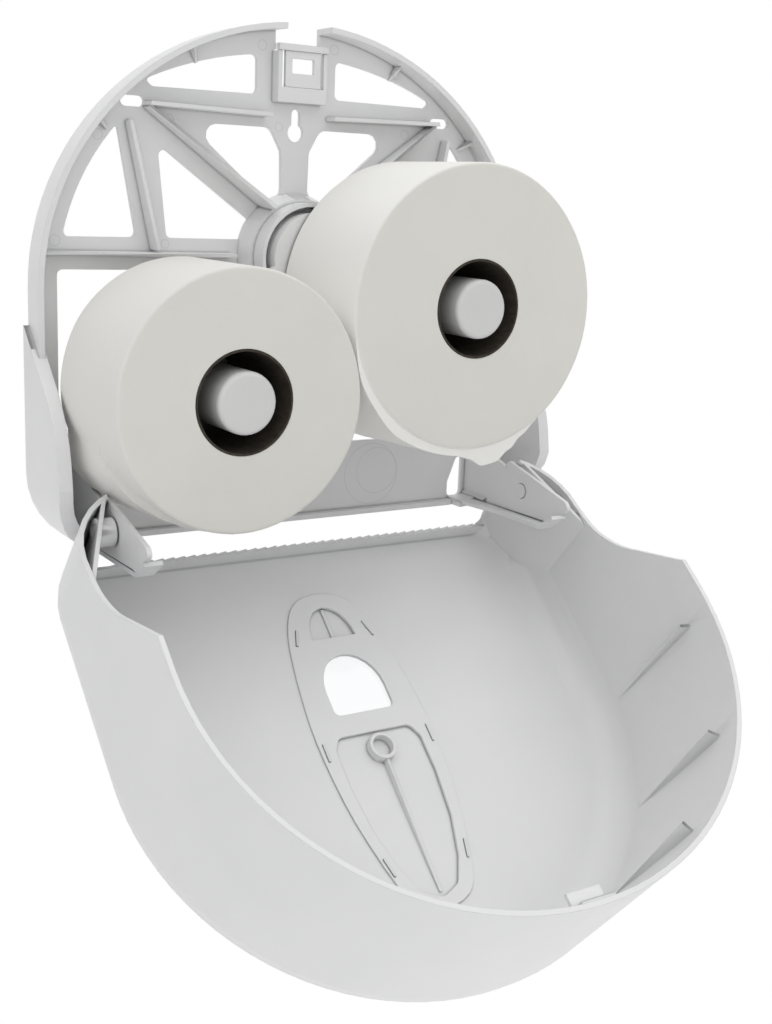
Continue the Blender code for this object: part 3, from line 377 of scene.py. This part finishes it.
whiteNodes = ("latch_tongue", "roll_carrier", "carrier_retaining_ring", "front_cover", "front_trim",
              "hinge_pin_left", "hinge_pin_right")
for nodeName in whiteNodes:
    dressNode(nodeName, plasticWhite)
dressNode("chassis", chassisWhite)
for nodeName in ("spindle_left", "spindle_right"):
    dressNode(nodeName, spindleGrey)
dressNode("sight_window", clearWindow)
for nodeName in ("roll_core_left", "roll_core_right"):
    dressNode(nodeName, tubeBoardWithShade)
print("moulded pieces dressed")


rollShape = {
    # inset and recede: how far the loose windings start behind the roll's front, and how much further at
    # their first angle. droop: (angle round the roll, how far they hang off it at the front, and at the back)
    "left": {
        "seed": 3.1,
        "skin": (0.80, 0.792, 0.765),    # the smooth outer winding, darker than the right roll's as painted shade of the wing on this side
        "inset": 0.0012,
        "recede": 0.045,
        "droop": ((200, 0, 0), (216, 0.0030, 0.008), (228, 0.0035, 0.0085), (238, 0.0035, 0.0085),
                  (248, 0.0022, 0.007), (258, 0.0006, 0.003), (266, 0, 0)),
    },
    "right": {
        "seed": 7.7,
        "skin": (0.895, 0.89, 0.86),
        "inset": 0.0012,
        "recede": 0.0,
        "droop": ((190, 0, 0), (212, 0.004, 0.007), (235, 0.006, 0.009), (250, 0.0047, 0.008),
                  (264, 0.0044, 0.006), (270, 0.0060, 0.006), (276, 0.0112, 0.006), (282, 0.0114, 0.006),
                  (289, 0.0070, 0.004), (296, 0.0026, 0.002), (306, 0, 0)),
    },
}
rollMake = {
    "edge": 0.0020,        # soft rounding of the wound edge
    "edgeSteps": 5,
    "windings": 34,        # bands seen on the end faces
    "step": 0.000008,      # how far neighbouring bands stand apart
    "bandScale": 300,      # how fast that changes from band to band
    "bandMiddle": 0.2,
    "roundSteps": 160,
    "boreGap": 0.0002,     # room between the tube and the paper
    "merge": 0.000005,
    "waver": 0.00035,      # how far the paper is out of round
    "sideWaves": 2.3,      # waves round the side
    "sideTwist": 14,       # and how they change along it
    "sideMiddle": 0.5,
    "faceWaves": 1.7,      # waves of the end faces
    "tuck": 0.0008,        # how far the loose windings start inside the roll
    "looseSteps": 96,
    "looseRows": 20,
    "crease": 0.0007,      # how deep the loose windings are creased
    "creaseAngle": 11,     # degrees round the roll to one crease
    "creaseScale": 60.0,
    "creaseFull": 0.003,   # droop from which a crease has its full depth
}


def rollProfile(bore, radius, front, back, make, seed):
    # Half section of a roll: bore, wound front face, soft edge, side, and back face
    points = [(bore, back), (bore, front)]
    edge = make["edge"]
    count = make["windings"]
    for index in range(1, count):
        share = index / count
        r = bore + (radius - edge - bore) * share
        lift = (noise.noise(Vector((r * make["bandScale"], seed, 0))) - make["bandMiddle"]) * make["step"]
        points.append((r, front + abs(lift)))
    for index in range(make["edgeSteps"] + 1):
        turn = math.radians(90 * index / make["edgeSteps"])
        points.append((radius - edge + edge * math.sin(turn), front + edge - edge * math.cos(turn)))
    for index in range(make["edgeSteps"] + 1):
        turn = math.radians(90 * index / make["edgeSteps"])
        points.append((radius - edge + edge * math.cos(turn), back - edge + edge * math.sin(turn)))
    return points


def makeRoll(side, nodeName, look, centre, radius, front, back):
    coreLow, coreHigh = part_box("roll_core_" + side)
    bore = (coreHigh.x - coreLow.x) / 2 + rollMake["boreGap"]
    shape = rollShape[side]
    bm = bmesh.new()
    verts = [bm.verts.new((centre.x + r, y, centre.z))
             for r, y in rollProfile(bore, radius, front, back, rollMake, shape["seed"])]
    edges = [bm.edges.new(pair) for pair in zip(verts, verts[1:] + verts[:1])]
    bmesh.ops.spin(bm, geom=verts + edges, cent=(centre.x, 0, centre.z), axis=(0, 1, 0), angle=math.tau,
                   steps=rollMake["roundSteps"], use_merge=True)
    bmesh.ops.remove_doubles(bm, verts=bm.verts, dist=rollMake["merge"])
    for vert in bm.verts:
        out = Vector((vert.co.x - centre.x, 0, vert.co.z - centre.z))
        share = max(0, (out.length - bore) / (radius - bore))
        heading = out.normalized()
        along = Vector((shape["seed"], vert.co.y * rollMake["sideTwist"], 0))
        wave = noise.noise(heading * rollMake["sideWaves"] + along) - rollMake["sideMiddle"]
        vert.co += heading * wave * rollMake["waver"] * share
        dish = noise.noise(heading * rollMake["faceWaves"] + Vector((0, 0, shape["seed"])))
        vert.co.y += dish * rollMake["waver"] * share
    bmesh.ops.recalc_face_normals(bm, faces=bm.faces)
    piece = toPiece(bm, "tissueRoll" + side.capitalize(), look)
    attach(piece, bodyOf[nodeName])
    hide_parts(nodeName)


def droopAt(droop, angle, depth):
    # How far the loose windings hang off the roll there, eased from one listed angle to the next
    for before, after in zip(droop, droop[1:]):
        if before[0] <= angle <= after[0]:
            share = (angle - before[0]) / (after[0] - before[0])
            eased = share * share * (3 - 2 * share)
            near = before[1] + (before[2] - before[1]) * depth
            far = after[1] + (after[2] - after[1]) * depth
            return near + (far - near) * eased
    return 0


def makeLooseWindings(side, look, centre, radius, front, back):
    # Outer windings that have come loose and hang a little under the roll
    shape = rollShape[side]
    first, last = shape["droop"][0][0], shape["droop"][-1][0]
    front += shape["inset"]
    inner = radius - rollMake["tuck"]
    rows = rollMake["looseRows"]
    places = [(radius, front + (back - front) * row / rows) for row in range(rows + 1)]
    bm = bmesh.new()
    verts = [bm.verts.new((centre.x + r, y, centre.z))
             for r, y in [(inner, front)] + places + [(inner, back)]]
    edges = [bm.edges.new(pair) for pair in zip(verts, verts[1:] + verts[:1])]
    bmesh.ops.rotate(bm, verts=verts, cent=centre, matrix=Matrix.Rotation(math.radians(-first), 3, "Y"))
    bmesh.ops.spin(bm, geom=verts + edges, cent=(centre.x, 0, centre.z), axis=(0, -1, 0),
                   angle=math.radians(last - first), steps=rollMake["looseSteps"])
    bmesh.ops.holes_fill(bm, edges=bm.edges, sides=0)
    for vert in bm.verts:
        out = Vector((vert.co.x - centre.x, 0, vert.co.z - centre.z))
        angle = math.degrees(math.atan2(out.z, out.x)) % 360
        depth = (vert.co.y - front) / (back - front)
        vert.co.y += shape["recede"] * (1 - depth) * max(0, last - angle) / (last - first)
        if out.length < radius - rollMake["tuck"] / 2:
            continue
        lift = droopAt(shape["droop"], angle, depth)
        fold = noise.noise(Vector((angle / rollMake["creaseAngle"], vert.co.y * rollMake["creaseScale"],
                                   shape["seed"])))
        depthShare = min(1, lift / rollMake["creaseFull"])
        vert.co += out.normalized() * (lift + fold * rollMake["crease"] * depthShare)
    bmesh.ops.recalc_face_normals(bm, faces=bm.faces)
    piece = toPiece(bm, "looseWindings" + side.capitalize(), look)
    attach(piece, "carrier")


for side in ("left", "right"):
    nodeName = "tissue_roll_" + side
    low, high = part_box(nodeName)
    centre = (low + high) / 2
    radius = (high.x - low.x) / 2
    paper = makePaper("tissuePaper" + side.capitalize(), paperLook, rollShape[side]["skin"],
                      (centre.x, centre.z), radius)
    makeRoll(side, nodeName, paper, centre, radius, low.y, high.y)
    makeLooseWindings(side, paper, centre, radius, low.y, high.y)
print("tissue rolls made")


stageLook = {
    "floorDrop": 0.55,     # how far the floor lies under the cover's lowest point
    "floorSize": 6.0,
    "floorDark": (0.93, 0.93, 0.93),
    "floorPale": (0.96, 0.96, 0.96),
    "floorStops": (0.3, 0.7),
    "floorTone": (1.2, 3.0, 0.5),
    "floorRoughness": 0.9,
    "white": (1, 1, 1),
}
# Soft light of a white tent: the way each part of it lies, and how bright it is
tentLight = {
    "left": ((-1, 0, 0), 0.42),
    "front": ((0, -1, 0), 0.77),
    "above": ((0, 0, 1), 1.66),
}


def whiteWhereSeen(tree):
    # 1 where the camera, gloss or clear plastic sees this, 0 for all other light
    rays = addNode(tree, "LightPath")
    seen = addNode(tree, "Math", operation="MAXIMUM")
    tree.links.new(rays.outputs["Is Camera Ray"], seen.inputs[0])
    tree.links.new(rays.outputs["Is Glossy Ray"], seen.inputs[1])
    either = addNode(tree, "Math", operation="MAXIMUM")
    tree.links.new(seen.outputs[0], either.inputs[0])
    tree.links.new(rays.outputs["Is Transmission Ray"], either.inputs[1])
    return either.outputs[0]


def tentStrength(tree, parts):
    # Brightness of the tent in each direction: every part fades as the squared cosine of the angle from it
    heading = addNode(tree, "TexCoord").outputs["Generated"]
    total = None
    for direction, strength in parts.values():
        facing = addNode(tree, "VectorMath", operation="DOT_PRODUCT")
        facing.inputs[1].default_value = direction
        tree.links.new(heading, facing.inputs[0])
        onSide = addNode(tree, "Math", operation="MAXIMUM")
        onSide.inputs[1].default_value = 0
        tree.links.new(facing.outputs["Value"], onSide.inputs[0])
        squared = addNode(tree, "Math", operation="POWER")
        squared.inputs[1].default_value = 2
        tree.links.new(onSide.outputs[0], squared.inputs[0])
        bright = addNode(tree, "Math", operation="MULTIPLY_ADD")
        bright.inputs[1].default_value = strength
        bright.inputs[2].default_value = 0
        tree.links.new(squared.outputs[0], bright.inputs[0])
        if total:
            tree.links.new(total, bright.inputs[2])
        total = bright.outputs[0]
    return total


def makeWorld(look, parts):
    world = bpy.data.worlds.new("studio")
    bpy.context.scene.world = world
    world.use_nodes = True
    tree = world.node_tree
    tree.nodes.clear()
    output = addNode(tree, "OutputWorld")
    around = addNode(tree, "Background")
    around.inputs["Color"].default_value = (*look["white"], 1)
    tree.links.new(tentStrength(tree, parts), around.inputs["Strength"])
    white = addNode(tree, "Background")
    white.inputs["Color"].default_value = (*look["white"], 1)
    white.inputs["Strength"].default_value = 1.0
    mixed = addNode(tree, "MixShader")
    tree.links.new(whiteWhereSeen(tree), mixed.inputs[0])
    tree.links.new(around.outputs[0], mixed.inputs[1])
    tree.links.new(white.outputs[0], mixed.inputs[2])
    tree.links.new(mixed.outputs[0], output.inputs[0])


def makeFloor(look):
    lowest = cadBounds[0][2] - look["floorDrop"]
    bm = bmesh.new()
    bmesh.ops.create_grid(bm, x_segments=2, y_segments=2, size=look["floorSize"])
    bmesh.ops.translate(bm, verts=bm.verts, vec=(0, 0, lowest))
    made, tree, shader = newMaterial("paleFloor")
    coords = addNode(tree, "TexCoord").outputs["Object"]
    mottled = noiseOn(tree, coords, look["floorTone"])
    colour = rampTo(tree, mottled, look["floorStops"], look["floorDark"], look["floorPale"])
    tree.links.new(colour, shader.inputs["Base Color"])
    shader.inputs["Roughness"].default_value = look["floorRoughness"]
    glow = addNode(tree, "Emission")
    glow.inputs["Color"].default_value = (*look["white"], 1)
    mixed = addNode(tree, "MixShader")
    output = next(node for node in tree.nodes if node.type == "OUTPUT_MATERIAL")
    tree.links.new(whiteWhereSeen(tree), mixed.inputs[0])
    tree.links.new(shader.outputs[0], mixed.inputs[1])
    tree.links.new(glow.outputs[0], mixed.inputs[2])
    tree.links.new(mixed.outputs[0], output.inputs[0])
    floor = toPiece(bm, "floor", made)


cameraSet = {
    "place": (-0.43206, -0.80468, -0.01220),
    "yaw": 0.575029,
    "pitch": 0.228170,
    "roll": 0.041719,
    "lens": 48.148,
    "sensor": 36,
    "nearest": 0.01,
    "shift": (-0.00819, 0.00163),
}


def makeCamera(settings):
    yaw, pitch, roll = settings["yaw"], settings["pitch"], settings["roll"]
    ahead = Vector((math.sin(yaw) * math.cos(pitch), math.cos(yaw) * math.cos(pitch), -math.sin(pitch)))
    level = Vector((math.cos(yaw), -math.sin(yaw), 0))
    upright = level.cross(ahead)
    across = level * math.cos(roll) + upright * math.sin(roll)
    upward = upright * math.cos(roll) - level * math.sin(roll)
    lens = bpy.data.cameras.new("viewpoint")
    lens.sensor_width = settings["sensor"]
    lens.lens = settings["lens"]
    lens.shift_x, lens.shift_y = settings["shift"]
    lens.clip_start = settings["nearest"]
    holder = bpy.data.objects.new("viewpoint", lens)
    bpy.context.scene.collection.objects.link(holder)
    turn = Matrix((across, upward, -ahead)).transposed().to_4x4()
    holder.matrix_world = Matrix.Translation(settings["place"]) @ turn
    bpy.context.scene.camera = holder


makeWorld(stageLook, tentLight)
makeFloor(stageLook)
makeCamera(cameraSet)
bpy.context.scene.view_settings.view_transform = "Standard"
print("stage, light and camera made")
